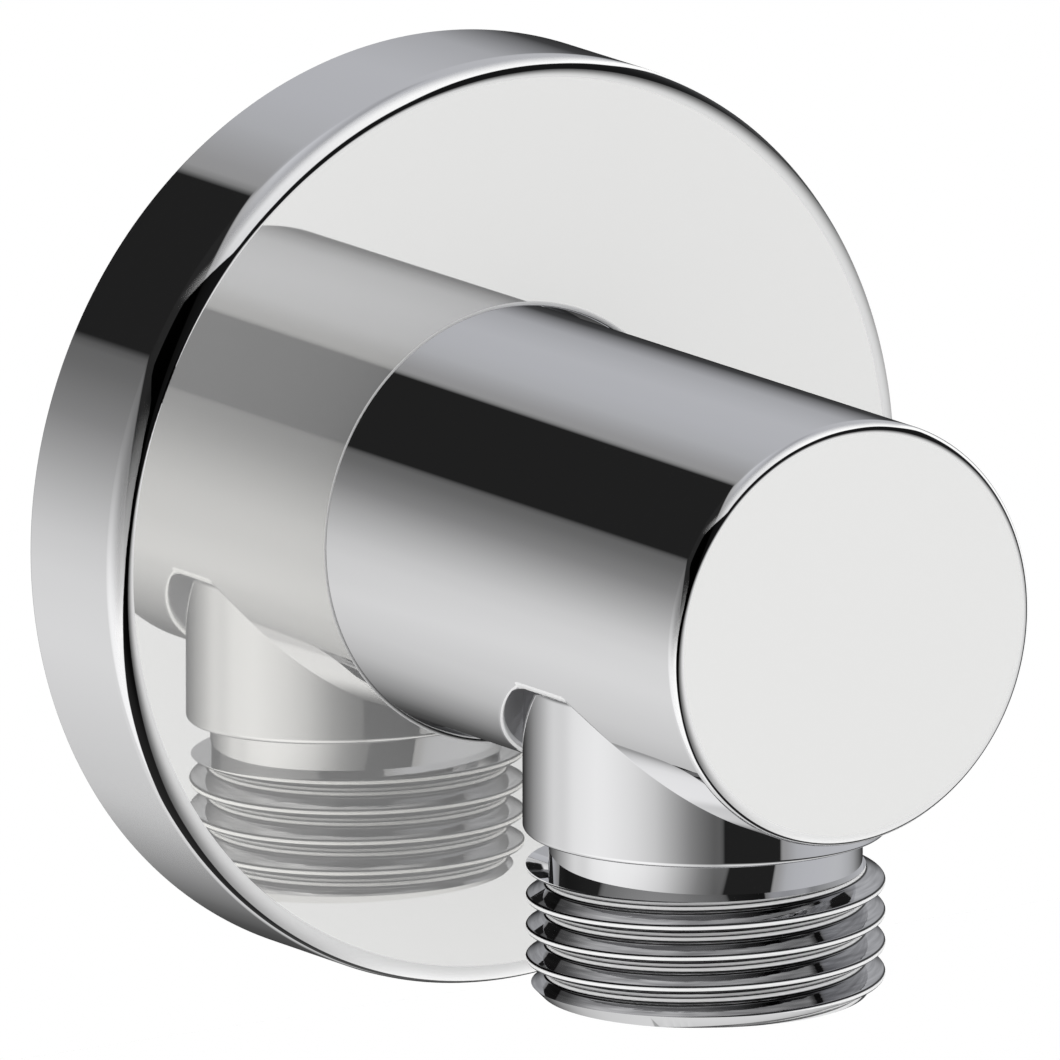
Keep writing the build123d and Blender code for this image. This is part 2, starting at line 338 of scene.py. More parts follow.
def buildStudio():
    world = bpy.data.worlds.new("studio")
    bpy.context.scene.world = world
    world.use_nodes = True
    tree = world.node_tree
    tree.nodes.clear()
    place = addNode(tree, "TexCoord")
    path = addNode(tree, "LightPath")
    # what is seen by way of a second mirror is mirrored back, so both mirrors show one tent
    second = addNode(tree, "Math", {"operation": "GREATER_THAN"}, {1: 1.5}, {0: (path, "Glossy Depth")})
    folded = addNode(tree, "VectorMath", {"operation": "REFLECT"}, {1: faceMirror}, {0: (place, "Generated")})
    way = addNode(tree, "Mix", {"data_type": "VECTOR"}, links={0: second, 4: (place, "Generated"), 5: folded})
    summed = addNode(tree, "VectorMath", plus, {1: towardsViewer}, {0: (way, 1)})
    middle = addNode(tree, "VectorMath", {"operation": "NORMALIZE"}, links={0: summed})
    across, upwards, facing = [
        (addNode(tree, "VectorMath", {"operation": "DOT_PRODUCT"}, {1: axis}, {0: middle}), "Value")
        for axis in (viewRight, viewUp, towardsViewer)]
    pastPivot, overPivot = [addNode(tree, "Math", minus, {1: pivot}, {0: along})
            for pivot, along in zip(studio["pivot"], (across, upwards))]
    angle = addNode(tree, "Math", {"operation": "ARCTAN2"}, links={0: overPivot, 1: pastPivot})
    share = addNode(tree, "MapRange", inputs={"From Min": math.radians(studio["tentFrom"]),
            "From Max": math.radians(studio["tentTo"])}, links={"Value": angle})
    tent = addNode(tree, "ValToRGB", links={0: share})
    span = studio["tentTo"] - studio["tentFrom"]
    setStops(tent, [((a - studio["tentFrom"]) / span, fromHex(grey)) for a, grey in studio["tent"]])
    width = addNode(tree, "MapRange", inputs={"From Min": -1.0}, links={"Value": across})
    ramps = {}
    for name, by, low in (("edge", facing, 0), ("topEdge", facing, 0), ("farLeft", width, -1), ("panel", width, -1)):
        ramps[name] = addNode(tree, "ValToRGB", links={0: by})
        setStops(ramps[name], [((x - low) / (1 - low), (v, v, v, 1)) for x, v in studio[name]])
    upper = addNode(tree, "MapRange", softly, {"From Min": studio["topFrom"], "From Max": studio["topTo"]},
            {"Value": upwards})
    fronts = addNode(tree, "MapRange", softly, {"From Min": studio["frontFrom"], "From Max": studio["frontTo"]},
            {"Value": facing})
    bothEdges = addNode(tree, "Mix", colours, links={0: upper, 6: ramps["edge"], 7: ramps["topEdge"]})
    panel = addNode(tree, "Mix", colours, {6: (1, 1, 1, 1)}, {0: fronts, 7: ramps["panel"]})
    shaded = tent
    for ramp in ((bothEdges, 2), (panel, 2), ramps["farLeft"]):
        shaded = (addNode(tree, "Mix", {"data_type": "RGBA", "blend_type": "MULTIPLY"}, {0: 1.0},
                {6: shaded, 7: ramp}), 2)
    mirrored = addNode(tree, "Background", inputs={"Strength": 1 / studio["chromeGrey"]}, links={"Color": shaded})
    plain = addNode(tree, "Background", inputs={"Color": (1, 1, 1, 1), "Strength": 1.0})
    both = addNode(tree, "MixShader", links={0: (path, "Is Glossy Ray"), 1: plain, 2: mirrored})
    addNode(tree, "OutputWorld", links={"Surface": both})


buildStudio()
bpy.context.scene.view_settings.view_transform = "Standard"
print("studio lit")


# Floor

floorSize = {"across": 4.0, "height": -0.6}


def buildFloor():
    nothingSelected()
    bpy.ops.mesh.primitive_plane_add(size=floorSize["across"], location=(0, 0, floorSize["height"]))
    floor = bpy.context.object
    floor.name = "paleFloor"
    material, tree = newMaterial("palePaperFloor")  # plain white paper, clear from below so that it hides nothing
    behind = addNode(tree, "NewGeometry")
    paper = addNode(tree, "BsdfDiffuse", inputs={"Color": (1, 1, 1, 1)})
    clear = addNode(tree, "BsdfTransparent")
    both = addNode(tree, "MixShader", links={0: (behind, "Backfacing"), 1: paper, 2: clear})
    floor.data.materials.append(withSurface(material, both))
    floor.visible_glossy = False  # the chrome mirrors the tent, not the paper


buildFloor()
print("floor laid")


# Materials

def grained(name, grainSize, detail, gloss, inputs, tints=None, bump=None):
    # a finish whose roughness follows soft grains of a size in mm, and with it the tint and the height if given
    material, tree = newMaterial(name)
    place = addNode(tree, "TexCoord")
    grain = addNode(tree, "TexNoise", inputs={"Scale": 1 / (grainSize * mm), "Detail": detail},
            links={"Vector": (place, "Object")})
    rough = addNode(tree, "MapRange", inputs={"To Min": gloss[0], "To Max": gloss[1]},
            links={"Value": (grain, "Fac")})
    shader = addNode(tree, "BsdfPrincipled", inputs=inputs, links={"Roughness": rough})
    if tints:
        tint = addNode(tree, "Mix", colours, {6: fromHex(tints[0]), 7: fromHex(tints[1])}, {0: (grain, "Fac")})
        tree.links.new(tint.outputs[2], shader.inputs["Base Color"])
    if bump:
        height = addNode(tree, "Bump", inputs={"Strength": bump, "Distance": 0.01 * mm},
                links={"Height": (grain, "Fac")})
        tree.links.new(height.outputs[0], shader.inputs["Normal"])
    return material, tree, shader


def hazeAndPaintedHighlight(tree, mirror, share, colour="#FFFFFF", by=None):
    # a white diffuse share mixed into the mirror, fixed or as much as another node says: on the flats the scatter of
    # scratches too fine to see, on the edge rounds, thread and pocket rim a painted highlight
    haze = addNode(tree, "BsdfDiffuse", inputs={"Color": fromHex(colour)})
    both = addNode(tree, "MixShader", inputs={0: share}, links={1: mirror, 2: haze})
    if by:
        tree.links.new(by.outputs[0], both.inputs[0])
    return both


def chromePlating(name, paintedReflection=None):
    # bright chrome on polished brass: a clean mirror, a shade greyer than silver, buffed in clouds about 6 mm wide
    material, tree, shader = grained(name, 6, 2.0, (0.012, 0.022),
            {"Base Color": fromHex("#E3E3E4"), "Metallic": 1.0})
    # where given, the edge rounds take a painted reflection: a black line and a white highlight set by the surface's
    # normal
    if paintedReflection:
        shader = paintedEdgeReflection(tree, shader, paintedReflection)
    return withSurface(material, shader)


# shares of the way from the rim to the flat, for the painted reflection on the edge rounds: how softly the painted
# black line starts and ends, over how much of the way the painted white highlight outside it rises and where it is
# full at the latest, where the painted tone inside ends and how much is left at the flat
paintedEdgeReflectionShape = {"soft": 0.025, "softInside": 0.03, "whiteRise": 0.333, "whiteFull": 0.667, "fadeEnd": 0.97,
             "fadeLeft": 0.775, "whiteMost": 4.0, "black": "#1E1E1E"}


def paintedEdgeReflection(tree, mirror, paintedReflection):
    # painted reflection on the edge round, by its normal: a painted black line round it, a painted white highlight
    # outside the line, and a painted tone fading to the flat inside
    e = SimpleNamespace(**paintedEdgeReflectionShape)
    face = addNode(tree, "NewGeometry")
    parts = addNode(tree, "SeparateXYZ", links={0: (face, "Normal")})
    left, front = [addNode(tree, "Math", times, {1: -1.0}, {0: (parts, axis)}) for axis in "XY"]
    around = addNode(tree, "Math", {"operation": "ARCTAN2"}, links={0: (parts, "Z"), 1: left})
    turn = addNode(tree, "MapRange", inputs={"From Min": -math.pi, "From Max": math.pi}, links={"Value": around})
    tilt = addNode(tree, "Math", {"operation": "ARCSINE"}, links={0: front})
    share = addNode(tree, "Math", {"operation": "DIVIDE"}, {1: math.pi / 2}, {0: tilt})
    # one ramp round the edge carries the painted line's two sides, the painted white outside it and the painted tone
    # inside it
    line = addNode(tree, "ValToRGB", links={0: turn})
    setStops(line, [((a + 180) / 360, (outer / 90, inner / 90, white / e.whiteMost, tone))
            for a, outer, inner, white, tone in paintedReflection])
    sides = addNode(tree, "SeparateColor", links={0: line})
    outer, inner = (sides, "Red"), (sides, "Green")
    before = addNode(tree, "Math", minus, {1: e.soft}, {0: outer})
    inPaintedLine = addNode(tree, "MapRange", softly, links={"Value": share, "From Min": before, "From Max": outer})
    after = addNode(tree, "Math", plus, {1: e.softInside}, {0: inner})
    inside = addNode(tree, "MapRange", softly, links={"Value": share, "From Min": inner, "From Max": after})
    fade = addNode(tree, "MapRange", softly, {"From Max": e.fadeEnd}, {"Value": share, "From Min": inner})
    flat = addNode(tree, "Mix", {"data_type": "FLOAT"}, {3: e.fadeLeft}, {0: fade, 2: (line, "Alpha")})
    paintedToneShare = addNode(tree, "Math", times, links={0: inside, 1: flat})
    full = addNode(tree, "Math", {"operation": "MINIMUM"}, {1: e.whiteFull}, {0: outer})
    start = addNode(tree, "Math", minus, {1: e.whiteRise}, {0: full})
    whiten = addNode(tree, "MapRange", softly, links={"Value": share, "From Min": start, "From Max": full})
    strength = addNode(tree, "Math", times, {1: e.whiteMost}, {0: (sides, "Blue")})
    paintedWhiteStrength = addNode(tree, "Math", {"operation": "MULTIPLY", "use_clamp": True}, links={0: whiten, 1: strength})
    offLine = addNode(tree, "Math", minus, {0: 1.0}, {1: inPaintedLine})
    paintedOuterShare = addNode(tree, "Math", times, links={0: paintedWhiteStrength, 1: offLine})
    paintedWhiteShare = addNode(tree, "Math", plus, links={0: paintedOuterShare, 1: paintedToneShare})
    # the painted black line darkens the mirror's colour
    tint = addNode(tree, "Mix", colours, {6: fromHex("#E3E3E4"), 7: fromHex(e.black)}, {0: inPaintedLine})
    tree.links.new(tint.outputs[2], mirror.inputs["Base Color"])
    return hazeAndPaintedHighlight(tree, mirror, 0.0, by=paintedWhiteShare)


# painted edge reflection: degrees round the edge from -X to +Z, the painted line's outer and inner side in degrees
# from the rim, painted white and painted tone
platePaintedEdgeReflection = [
    (-180, 0, 30, 0.0, 0.4), (-120, 18, 34, 0.0, 0.95), (-75, 24, 36, 0.0, 0.95), (-60, 24, 37, 0.0, 0.5),
    (-45, 22, 38, 0.0, 0.3), (-30, 18, 43, 0.2, 0.1), (-15, 36, 61, 0.0, 0.1), (-7, 52, 67, 1.0, 0.1),
    (0, 64, 73, 0.55, 0.1), (7, 71, 78, 0.35, 0.1), (15, 72, 83, 0.15, 0.1), (22, 61, 87, 0.0, 0.1),
    (26, 30, 88, 0.0, 0.1), (35, 30, 85, 0.0, 0.1), (44, 75, 82, 0.5, 0.1), (52, 76, 85, 0.6, 0.1),
    (60, 74, 84, 0.7, 0.1), (75, 69, 78, 0.95, 0.1), (82, 63, 76, 1.0, 0.1), (90, 58, 72, 1.0, 0.1),
    (97, 53, 67, 1.0, 0.1), (105, 44, 62, 1.5, 0.1), (112, 28, 58, 3.0, 0.1), (120, 25, 52, 3.0, 0.1),
    (135, 15, 43, 0.0, 0.1), (150, 2, 34, 0.0, 0.2), (180, 0, 30, 0.0, 0.4)]
bodyPaintedEdgeReflection = [
    (-180, 60, 68, 3.0, 0.5), (-90, 41, 52, 0.0, 0.9), (-75, 41, 49, 0.0, 0.9), (-60, 33, 47, 0.0, 0.7),
    (-45, 35, 46, 0.0, 0.5), (-30, 35, 43, 0.4, 0.15), (-15, 46, 53, 1.0, 0.1), (0, 52, 63, 1.0, 0.1),
    (7, 56, 67, 0.4, 0.1), (15, 62, 72, 0.15, 0.1), (22, 54, 73, 0.0, 0.1), (26, 30, 74, 0.0, 0.1),
    (35, 30, 76, 0.0, 0.1), (43, 67, 77, 0.5, 0.1), (60, 67, 78, 0.65, 0.1), (75, 66, 77, 0.95, 0.1),
    (90, 62, 75, 1.0, 0.1), (97, 57, 72, 1.0, 0.1), (105, 53, 70, 1.0, 0.1), (112, 44, 69, 3.0, 0.1),
    (120, 49, 67, 3.0, 0.1), (135, 55, 65, 3.0, 0.1), (150, 58, 66, 3.0, 0.15), (180, 60, 68, 3.0, 0.5)]


def chromeFacePaintedLighter():
    # the plating on the turned flats: partly a lapped finish whose fine marks scatter about a quarter of the light,
    # partly a painted lighter copy, as its base colour is lighter than the plating's
    material, tree, mirror = grained("lappedChromeFacePaintedLighter", 8, 2.0, (0.01, 0.02),
            {"Base Color": fromHex("#FBFAF5"), "Metallic": 1.0})
    leaning = addNode(tree, "CombineXYZ", inputs=dict(zip("XYZ", faceMirror)))
    tree.links.new(leaning.outputs[0], mirror.inputs["Normal"])
    return withSurface(material, hazeAndPaintedHighlight(tree, mirror, 0.26, "#F9F9F9"))


def rimPolishWithPaintedHighlight():
    # the pocket's hand-polished rim: its small scratches roughen it, and a large white diffuse share paints a
    # highlight on it as a soft white line
    material, tree, mirror = grained("handPolishedRimPaintedHighlight", 0.5, 3.0, (0.1, 0.2),
            {"Base Color": fromHex("#F2F2F2"), "Metallic": 1.0})
    return withSurface(material, hazeAndPaintedHighlight(tree, mirror, 0.6))


def cutChrome(name, light, dark, haze, paintedSharesByTilt):
    # plating over a cut surface: a mirror drawn out along the tool's lines, with a painted white highlight and
    # painted black reflection lines by its tilt
    material, tree = newMaterial(name)
    place = addNode(tree, "TexCoord")
    drawn = addNode(tree, "VectorMath", times, {1: (0.03, 0.03, 1.0)}, {0: (place, "Object")})
    marks = addNode(tree, "TexNoise", inputs={"Scale": 1 / (0.12 * mm), "Detail": 2.0},
                    links={"Vector": drawn})  # lines about 0.1 mm apart
    face = addNode(tree, "NewGeometry")
    parts = addNode(tree, "SeparateXYZ", links={0: (face, "Normal")})
    tilt = addNode(tree, "MapRange", inputs={"From Min": -1.0}, links={"Value": (parts, "Z")})
    lines = addNode(tree, "ValToRGB", links={0: tilt})
    setStops(lines, [((z + 1) / 2, (white, black, 0, 1)) for z, white, black in paintedSharesByTilt])
    shares = addNode(tree, "SeparateColor", links={0: lines})
    tint = addNode(tree, "Mix", colours, {6: fromHex(light), 7: fromHex(dark)}, {0: (marks, "Fac")})
    # the black share paints a dark reflection line into the mirror's colour, and the white share paints the highlight
    # through the haze
    tintWithPaintedLine = addNode(tree, "Mix", colours, {7: fromHex("#1C1C1C")}, {0: (shares, "Green"), 6: (tint, 2)})
    bump = addNode(tree, "Bump", inputs={"Strength": 1.0, "Distance": 0.003 * mm}, links={"Height": (marks, "Fac")})
    mirror = addNode(tree, "BsdfPrincipled", inputs={"Metallic": 1.0, "Roughness": 0.03},
            links={"Base Color": (tintWithPaintedLine, 2), "Normal": bump})
    return withSurface(material, hazeAndPaintedHighlight(tree, mirror, 0.0, haze, by=shares))


# upward part of the normal, white share, black share: on the thread a painted highlight on the crests and painted
# black reflection lines beside them, in the pocket an even white haze
threadPaintedLines = [(-1.0, 0.0, 0.0), (-0.84, 0.0, 0.0), (-0.78, 0.0, 0.95), (-0.46, 0.0, 0.95), (-0.36, 0.7, 0.0),
               (0.2, 0.9, 0.0), (0.34, 0.6, 0.0), (0.44, 0.0, 0.95), (0.72, 0.0, 0.95), (0.8, 0.0, 0.0),
               (1.0, 0.0, 0.0)]
pocketTilts = [(-1.0, 0.5, 0.0), (1.0, 0.5, 0.0)]


def turnedBrass():
    # free-cutting brass left as turned: yellow metal, tarnished in patches, with tool lines every 0.15 mm on its axis
    material, tree, shader = grained("turnedBrass", 5, 4.0, (0.2, 0.34), {"Metallic": 1.0}, ("#D8B467", "#C49A4B"))
    place = addNode(tree, "TexCoord")
    parts = addNode(tree, "SeparateXYZ", links={0: (place, "Object")})
    lines = addNode(tree, "Math", times, {1: math.tau / (0.15 * mm)}, {0: (parts, "Y")})
    wave = addNode(tree, "Math", {"operation": "SINE"}, links={0: lines})
    bump = addNode(tree, "Bump", inputs={"Strength": 0.15, "Distance": 0.01 * mm}, links={"Height": wave})
    tree.links.new(bump.outputs[0], shader.inputs["Normal"])
    return withSurface(material, shader)


def stainlessSteel():
    # stainless wire and screw, drawn and tumbled: grey metal with a dull sheen
    material, tree, shader = grained("tumbledStainlessSteel", 0.4, 3.0, (0.22, 0.38),
            {"Base Color": fromHex("#B9BABC"), "Metallic": 1.0}, bump=0.1)
    return withSurface(material, shader)


def nitrileRubber():
    # moulded nitrile rubber: near black, a soft sheen and a faint bloom in patches
    material, tree, shader = grained("mouldedNitrileRubber", 1.5, 5.0, (0.4, 0.6), {"IOR": 1.52},
            ("#161617", "#29292A"))
    return withSurface(material, shader)


def acetalPlastic(name, light, dark):
    # injection-moulded acetal: waxy, with a spark-eroded grain too fine to feel
    material, tree, shader = grained(name, 0.25, 3.0, (0.3, 0.42), {"IOR": 1.48}, (light, dark), 0.15)
    return withSurface(material, shader)


def cellFoam():
    # closed-cell foam rubber, die cut: matt charcoal with cells about 0.5 mm across
    material, tree = newMaterial("closedCellFoam")
    place = addNode(tree, "TexCoord")
    cells = addNode(tree, "TexVoronoi", inputs={"Scale": 1 / (0.5 * mm)}, links={"Vector": (place, "Object")})
    bump = addNode(tree, "Bump", inputs={"Strength": 0.5, "Distance": 0.08 * mm}, links={"Height": cells})
    tint = addNode(tree, "Mix", colours, {6: fromHex("#2B2B2D"), 7: fromHex("#474749")}, {0: cells})
    shader = addNode(tree, "BsdfPrincipled", inputs={"Roughness": 0.92, "IOR": 1.5},
            links={"Base Color": (tint, 2), "Normal": bump})
    return withSurface(material, shader)


chrome, faceChromePaintedLighter = chromePlating("brightChromePlating"), chromeFacePaintedLighter()
# the plate and body chrome carry a painted reflection on their edge rounds
plateChrome = chromePlating("chromeOnWallPlateWithPaintedEdge", platePaintedEdgeReflection)
bodyChrome = chromePlating("chromeOnBodyWithPaintedEdge", bodyPaintedEdgeReflection)
threadChromeWithPaintedLines = cutChrome("chromeOnCutThreadWithPaintedLines", "#F2F2F3", "#7C7C7E", "#FFFFFF", threadPaintedLines)
# painted shade: the pocket's chrome is a darker copy of the plating, with an even white haze
pocketChromeWithPaintedShade = cutChrome("pocketChromePaintedShade", "#A8A8AA", "#5A5A5C", "#D4D4D6", pocketTilts)
rimChromeWithPaintedHighlight = rimPolishWithPaintedHighlight()
brass, steel = turnedBrass(), stainlessSteel()
rubber, foam = nitrileRubber(), cellFoam()
whiteAcetal = acetalPlastic("whiteAcetal", "#EFEEE8", "#E4E3DC")
blueAcetal = acetalPlastic("blueAcetal", "#2F4F86", "#2A4678")
print("materials mixed")


# Wall plate

plate = {"radius": 27.5, "depth": 9.1, "face": 1.8, "wall": 1.8, "edgeRound": 1.2, "hole": 12.75, "lip": 0.3,
         "hub": 15.65, "hubBack": 3.0, "groove": 13.96, "grooveFrom": 4.2, "grooveTo": 6.0, "soft": 0.15,
         "fillet": 0.5, "ribs": 4, "ribThick": 1.2, "ribFrom": 2.4, "ribInto": 0.5, "firstRib": 45.0}


def buildPlate():
    p = SimpleNamespace(**plate)
    inner, under, soft = p.radius - p.wall, p.depth - p.face, p.soft
    piece = turnedPiece("wallPlate", [
        (p.hole, p.hubBack, soft), (p.hole, p.grooveFrom), (p.groove, p.grooveFrom),
        (p.groove, p.grooveTo), (p.hole, p.grooveTo), (p.hole, p.depth, p.lip),
        (p.radius, p.depth, p.edgeRound), (p.radius, 0, soft), (inner, 0, soft),
        (inner, under, p.fillet), (p.hub, under, p.fillet), (p.hub, p.hubBack, soft)], steps=288)
    for k in range(p.ribs):
        rib = barPiece(p.hub - p.ribInto, inner - p.hub + 2 * p.ribInto, p.ribFrom,
                p.ribThick, under - p.ribFrom + p.ribInto, soft)
        layOn(rib, Matrix.Rotation(math.radians(p.firstRib + 360 / p.ribs * k), 4, "Z"))
        combine(piece, rib, "UNION")
    finished(piece, outOfWall, "escutcheon", "chrome", plateChrome)
    markFlats(piece, -p.depth)
    piece.visible_glossy = False  # the body's own mirror doesn't carry the plate


def markFlats(piece, front):
    # the flat front takes the lapped finish with its painted lighter base colour
    piece.data.materials.append(faceChromePaintedLighter)
    for face in piece.data.polygons:
        if face.normal.y < -0.99999 and abs(face.center.y - front * mm) < 0.002 * mm:
            face.material_index = 1


buildPlate()
print("wall plate made")


# Body

body = {"radius": 12.5, "front": 44.5, "back": 2.6, "backRound": 0.2, "edgeRound": 0.7, "socket": 9.5,
        "socketEnd": 17.0, "leadIn": 0.8, "waterway": 4.0, "waterwayLift": 1.0, "pocket": 11.65, "ceiling": 5.1,
        "rim": 0.5, "rimRuns": 5, "port": 8.0, "portTop": 0.6, "portInto": 0.5, "chamber": 7.25,
        "chamberTop": 5.6, "screwHole": 2.0, "screwFrom": 7.0, "around": 256, "pocketSides": 256, "overCeiling": 1.2}


def skinHeight(x):
    return -math.sqrt(max(body["radius"] ** 2 - x * x, 0))


def pocketRim():
    # rows of points from the body's skin over the rounded rim into the pocket, seen in the body's place
    b = SimpleNamespace(**body)
    rows = [[] for _ in range(b.rimRuns + 2)]
    reach = math.sqrt(b.radius ** 2 - b.ceiling ** 2)  # past this the ceiling itself comes out of the skin
    for k in range(b.pocketSides):
        a = math.tau * k / b.pocketSides
        out = Vector((math.cos(a), math.sin(a), 0))
        away = min(b.pocket, reach / max(abs(out.x), 1e-9))
        corner = out * away
        corner.z = -b.ceiling if away < b.pocket else skinHeight(corner.x)
        slope = math.atan2(abs(corner.x) * abs(out.x), -corner.z)
        skin = out * (away + b.rim * math.cos(slope))
        skin.z = skinHeight(skin.x)
        climb = min(b.rim, -b.ceiling - corner.z)
        wall = out * (away - (b.rim - climb))
        wall.z = corner.z + climb
        for n in range(b.rimRuns + 1):
            t = n / b.rimRuns
            rows[n].append(skin * (1 - t) ** 2 + corner * 2 * t * (1 - t) + wall * t * t)
        rows[-1].append(Vector((wall.x, wall.y, -b.ceiling)))
    return [[(point + Vector((0, -outletAxis, 0))) * mm for point in row] for row in rows]


def cutPocket(piece):
    b = SimpleNamespace(**body)
    rows = pocketRim()
    count = len(rows[0])
    # the cutter's sides stand on the rim's outer row and it ends above the ceiling
    high, low = rows[-1][0].z + b.overCeiling * mm, -(b.radius + cutOver) * mm
    points = [Vector((p.x, p.y, z)) for z in (high, low) for p in rows[0]]
    faces = [(k, (k + 1) % count, count + (k + 1) % count, count + k) for k in range(count)]
    cutter = meshFrom("pocketCutter", points, faces + [tuple(range(count))[::-1], tuple(range(count, 2 * count))])
    makeActive(cutter)
    closeSeams()
    combine(piece, cutter)
    # the cut's own wall and ceiling go, and the rounded rim with the true wall comes in their place
    makeActive(piece)
    editMesh("DESELECT")
    bpy.ops.mesh.select_mode(type="FACE")
    leaveMesh()
    outer = b.pocket + b.rim + hair
    for face in piece.data.polygons:
        place = face.center / mm
        offSkin = abs(math.hypot(place.x, place.z) - b.radius) > 2 * hair
        face.select = fromOutlet(place) < outer and offSkin and place.z < high / mm + hair
    bpy.ops.object.mode_set(mode="EDIT")
    bpy.ops.mesh.delete(type="FACE")
    leaveMesh()
    weldToRim(piece, rows[0])
    faces = [(r * count + k, (r + 1) * count + k, (r + 1) * count + (k + 1) % count, r * count + (k + 1) % count)
            for r in range(len(rows) - 1) for k in range(count)]
    faces.append(tuple((len(rows) - 1) * count + k for k in range(count)))
    lining = meshFrom("pocketLining", [p for row in rows for p in row], faces)
    makeActive(piece)
    lining.select_set(True)
    bpy.ops.object.join()
    closeSeams(0.004)


def fromOutlet(place):
    return math.hypot(place.x, place.y + outletAxis)


def weldToRim(piece, row):
    # the skin's strip ends on the hole go to the nearest point of the rim's outer row
    makeActive(piece)
    selectOpenEdges()
    leaveMesh()
    for point in piece.data.vertices:
        if point.select:
            a = math.atan2(point.co.y / mm + outletAxis, point.co.x / mm)
            k = round(a / math.tau * len(row)) % len(row)
            near = min((k, (k + 1) % len(row), k - 1), key=lambda n: (row[n] - point.co).length)
            point.co = row[near]
    bpy.ops.object.mode_set(mode="EDIT")
    bpy.ops.mesh.remove_doubles(threshold=0.001 * mm)
    leaveMesh()


def buildBody():
    b = SimpleNamespace(**body)
    piece = turnedPiece("outletBody", [
        (0, b.socketEnd), (b.socket, b.socketEnd), (b.socket, b.back + b.leadIn),
        (b.socket + b.leadIn, b.back), (b.radius, b.back, b.backRound),
        (b.radius, b.front, b.edgeRound), (0, b.front)], steps=b.around)
    layOn(piece, outOfWall)
    cutPocket(piece)
    waterway = layOn(rodPiece("waterway", b.waterway, b.socketEnd - cutOver, outletAxis), outOfWall)
    combine(piece, layOn(waterway, Matrix.Translation((0, 0, b.waterwayLift * mm))))
    intoPocket = b.ceiling + b.portInto
    bore = turnedPiece("portCutter", [
        (0, -b.chamberTop), (b.chamber, -b.chamberTop), (b.chamber, b.portTop),
        (b.port, b.portTop), (b.port, intoPocket), (0, intoPocket)], steps=128)
    combine(piece, layOn(bore, downOutlet))
    screwHole = rodPiece("screwHole", b.screwHole, b.screwFrom, b.radius + cutOver, sides=64)
    combine(piece, layOn(screwHole, atScrew))
    smoothed(piece, weighted=False)
    trueNormals(piece)
    fitted(piece, "outlet_body", "fitting", bodyChrome)
    markFlats(piece, -b.front)
    markPocket(piece)


def markPocket(piece):
    # the pocket's wall and roof, and its rim, take finishes of their own: painted shade on the wall and roof as a
    # darker copy of the chrome, and a painted highlight on the rim
    b = SimpleNamespace(**body)
    piece.data.materials.append(pocketChromeWithPaintedShade)
    piece.data.materials.append(rimChromeWithPaintedHighlight)
    for face in piece.data.polygons:
        place = face.center / mm
        away = fromOutlet(place)
        wall = abs(away - b.pocket) < 2 * hair and abs(face.normal.z) < 0.01
        roof = away < b.pocket and abs(place.z + b.ceiling) < hair
        offSkin = b.radius - math.hypot(place.x, place.z)
        if wall or roof:
            face.material_index = 2
        elif away < b.pocket + b.rim and hair < offSkin < b.rim and place.z < 0:
            face.material_index = 3


def trueNormals(piece):
    # the skin keeps the turned blank's own normals, so the cuts don't ripple its mirror
    normals = []
    inside, start = body["radius"] - body["edgeRound"], -(body["front"] - body["edgeRound"])
    behind = -body["back"] - body["backRound"] - hair
    for point in piece.data.vertices:
        x, y, z = point.co / mm
        away = math.hypot(x, z)
        nearScrew = math.hypot(x, y + screwAxis) < body["screwHole"] + 5 * hair and z < 0
        if y < start - 0.001:
            out = max(away - inside, 0) / max(away, 1e-6)
            normals.append(Vector((x * out, y - start, z * out)).normalized())
        elif abs(away - body["radius"]) < hair / 5 and y < behind and not nearScrew:
            normals.append(Vector((x, 0, z)).normalized())
        else:
            normals.append(Vector((0, 0, 0)))
    piece.data.normals_split_custom_set_from_vertices(normals)


buildBody()
print("body made")


# Pipe threads

pipeThread = {"crest": 10.425, "pitch": 1.814, "depth": 1.1616, "flank": 27.5, "round": 0.2487,
              "runs": 5, "steps": 144, "endChamfer": 0.9}
screwThread = {"crest": 1.95, "pitch": 0.7, "depth": 0.4, "flank": 30.0, "round": 0.07,
               "runs": 2, "steps": 48, "endChamfer": 0.3}


def toothOutline(thread, middle):
    # one pitch of the rounded thread, from root to root, on the +X side
    turn, r, crest = math.radians(90 - thread["flank"]), thread["round"], thread["crest"]
    root = crest - thread["depth"]
    arc = [turn * n / thread["runs"] for n in range(thread["runs"] + 1)]
    points = [(root + r * (1 - math.cos(a)), -thread["pitch"] / 2 + r * math.sin(a)) for a in arc]
    points += [(crest - r * (1 - math.cos(a)), -r * math.sin(a)) for a in reversed(arc)]
    points += [(radius, -height) for radius, height in reversed(points[:-1])]
    return [(radius, middle + height) for radius, height in points]


def threadRod(name, thread, shoulder, end, crestAt):
    # a rod on Z with a right-handed thread, cut flat at its shoulder and chamfered at its end
    crest, pitch, chamfer, over = thread["crest"], thread["pitch"], thread["endChamfer"], 0.5
    first = crestAt
    while first + pitch / 2 > shoulder:
        first -= pitch
    piece = drawOutline(name, toothOutline(thread, first))
    leaveMesh()
    windUp(piece, math.tau, pitch, thread["steps"], math.ceil((end - shoulder) / pitch) + 2)
    editMesh()
    bpy.ops.mesh.remove_doubles(threshold=0.002 * mm)
    for height, side in ((shoulder, {"clear_inner": True}), (end, {"clear_outer": True})):
        bpy.ops.mesh.select_all(action="SELECT")
        bpy.ops.mesh.bisect(plane_co=(0, 0, height * mm), plane_no=(0, 0, 1), use_fill=True,
                threshold=0.0001 * mm, **side)
    closeSeams()
    blank = turnedPiece("blank", [
        (0, shoulder - cutOver), (crest + over, shoulder - cutOver), (crest + over, end - chamfer - over),
        (crest - chamfer - over, end + over), (0, end + over)], steps=144)
    return combine(piece, blank, "INTERSECT")


